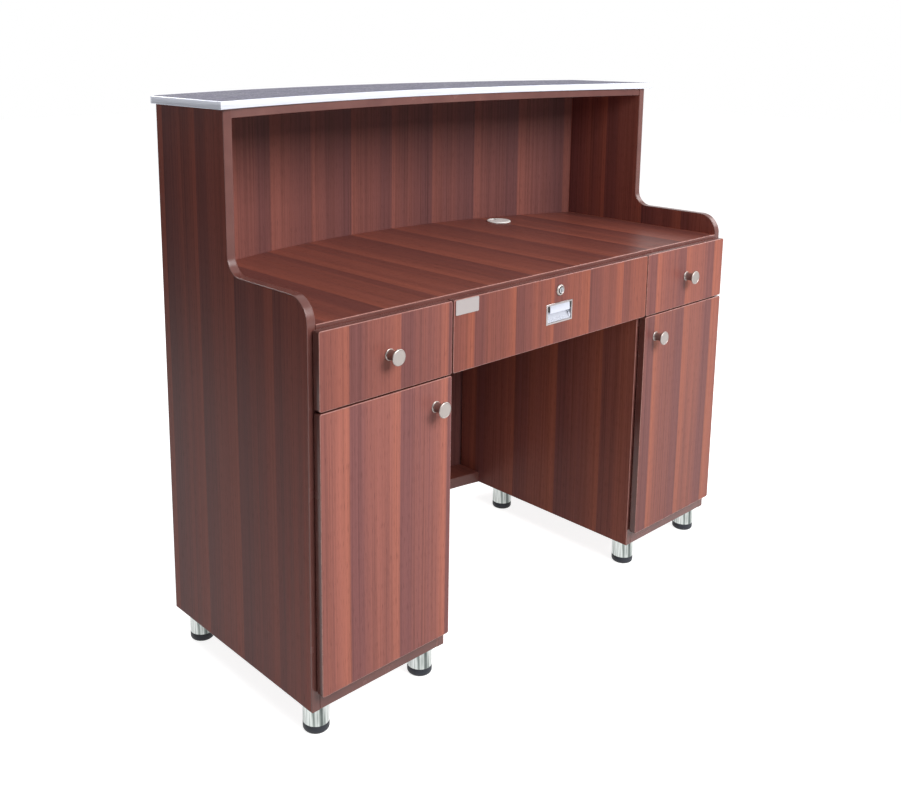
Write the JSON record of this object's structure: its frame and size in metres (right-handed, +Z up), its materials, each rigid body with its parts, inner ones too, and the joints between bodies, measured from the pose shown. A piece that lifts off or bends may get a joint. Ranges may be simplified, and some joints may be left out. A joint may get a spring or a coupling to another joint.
{
  "type": "reception desk",
  "caption": "Bowed reception desk: raised stone counter over a worktop, cupboard pedestals with drawers and doors, a lockable centre drawer over a kneehole, on short round legs.",
  "frame": {"origin": "on the floor, under the middle of the desk's box", "axes": "+X to the right seen from the staff side, +Y towards the customers, +Z up"},
  "size_m": [1.244, 0.6346, 1.0932],
  "materials": {
    "wood_laminate": "satin red-brown woodgrain laminate with lighter edge banding",
    "drawer_board": "plain matt drawer board",
    "counter_stone": "polished dark speckled stone",
    "edge_trim": "bright aluminium edging",
    "bright_chrome": "polished chrome",
    "black_rubber": "matt black",
    "satin_nickel": "satin nickel",
    "hardware_steel": "zinc-plated steel",
    "white_plastic": "moulded white plastic"
  },
  "bodies": {
    "carcass": {"left_side_panel": "wood_laminate", "left_divider": "wood_laminate", "left_base_panel": "wood_laminate", "right_side_panel": "wood_laminate", "right_divider": "wood_laminate", "right_base_panel": "wood_laminate", "curved_front_panel": "wood_laminate", "kneehole_base_board": "wood_laminate", "worktop": "wood_laminate", "counter_support_board": "wood_laminate", "counter_slab": "counter_stone", "counter_edge_trim": "edge_trim", "grommet_liner": "white_plastic", "left_front_outer_leg": "bright_chrome", "left_front_inner_leg": "bright_chrome", "left_rear_outer_leg": "bright_chrome", "left_rear_inner_leg": "bright_chrome", "right_front_outer_leg": "bright_chrome", "right_front_inner_leg": "bright_chrome", "right_rear_outer_leg": "bright_chrome", "right_rear_inner_leg": "bright_chrome", "left_front_outer_foot": "black_rubber", "left_front_inner_foot": "black_rubber", "left_rear_outer_foot": "black_rubber", "left_rear_inner_foot": "black_rubber", "right_front_outer_foot": "black_rubber", "right_front_inner_foot": "black_rubber", "right_rear_outer_foot": "black_rubber", "right_rear_inner_foot": "black_rubber", "left_door_lower_hinge_arm": "hardware_steel", "left_door_upper_hinge_arm": "hardware_steel", "right_door_lower_hinge_arm": "hardware_steel", "right_door_upper_hinge_arm": "hardware_steel", "left_drawer_outer_rail": "hardware_steel", "left_drawer_inner_rail": "hardware_steel", "right_drawer_outer_rail": "hardware_steel", "right_drawer_inner_rail": "hardware_steel", "centre_drawer_left_rail": "hardware_steel", "centre_drawer_right_rail": "hardware_steel"},
    "left_drawer": {"left_drawer_front": "wood_laminate", "left_drawer_box": "drawer_board", "left_drawer_knob": "satin_nickel"},
    "right_drawer": {"right_drawer_front": "wood_laminate", "right_drawer_box": "drawer_board", "right_drawer_knob": "satin_nickel"},
    "centre_drawer": {"centre_drawer_front": "wood_laminate", "centre_drawer_box": "drawer_board", "centre_drawer_flush_pull": "bright_chrome", "lock_housing": "bright_chrome"},
    "left_cupboard_door": {"left_door": "wood_laminate", "left_door_lower_hinge_cup": "hardware_steel", "left_door_upper_hinge_cup": "hardware_steel", "left_door_knob": "satin_nickel"},
    "right_cupboard_door": {"right_door": "wood_laminate", "right_door_lower_hinge_cup": "hardware_steel", "right_door_upper_hinge_cup": "hardware_steel", "right_door_knob": "satin_nickel"},
    "lock_core": {"lock_plug": "hardware_steel", "lock_cam": "hardware_steel"},
    "cable_cap": {"grommet_cap": "white_plastic"}
  },
  "joints": [
    {"name": "left_drawer_slide", "type": "slide", "parent": "carcass", "child": "left_drawer", "axis": [0, -1, 0], "range_m": [0, 0.28]},
    {"name": "centre_drawer_slide", "type": "slide", "parent": "carcass", "child": "centre_drawer", "axis": [0, -1, 0], "range_m": [0, 0.28]},
    {"name": "right_drawer_slide", "type": "slide", "parent": "carcass", "child": "right_drawer", "axis": [0, -1, 0], "range_m": [0, 0.28]},
    {"name": "left_door_swing", "type": "hinge", "parent": "carcass", "child": "left_cupboard_door", "pos_m": [-0.594, -0.28225, 0.35], "axis": [0, 0, -1], "range_deg": [0, 95]},
    {"name": "right_door_swing", "type": "hinge", "parent": "carcass", "child": "right_cupboard_door", "pos_m": [0.594, -0.28225, 0.35], "axis": [0, 0, 1], "range_deg": [0, 95]},
    {"name": "lock_turn", "type": "hinge", "parent": "centre_drawer", "child": "lock_core", "pos_m": [0, -0.28, 0.712], "axis": [0, -1, 0], "range_deg": [0, 90]},
    {"name": "cable_cap_turn", "type": "hinge", "parent": "carcass", "child": "cable_cap", "pos_m": [0.34, 0.18472, 0.749], "axis": [0, 0, 1], "continuous": true}
  ]
}
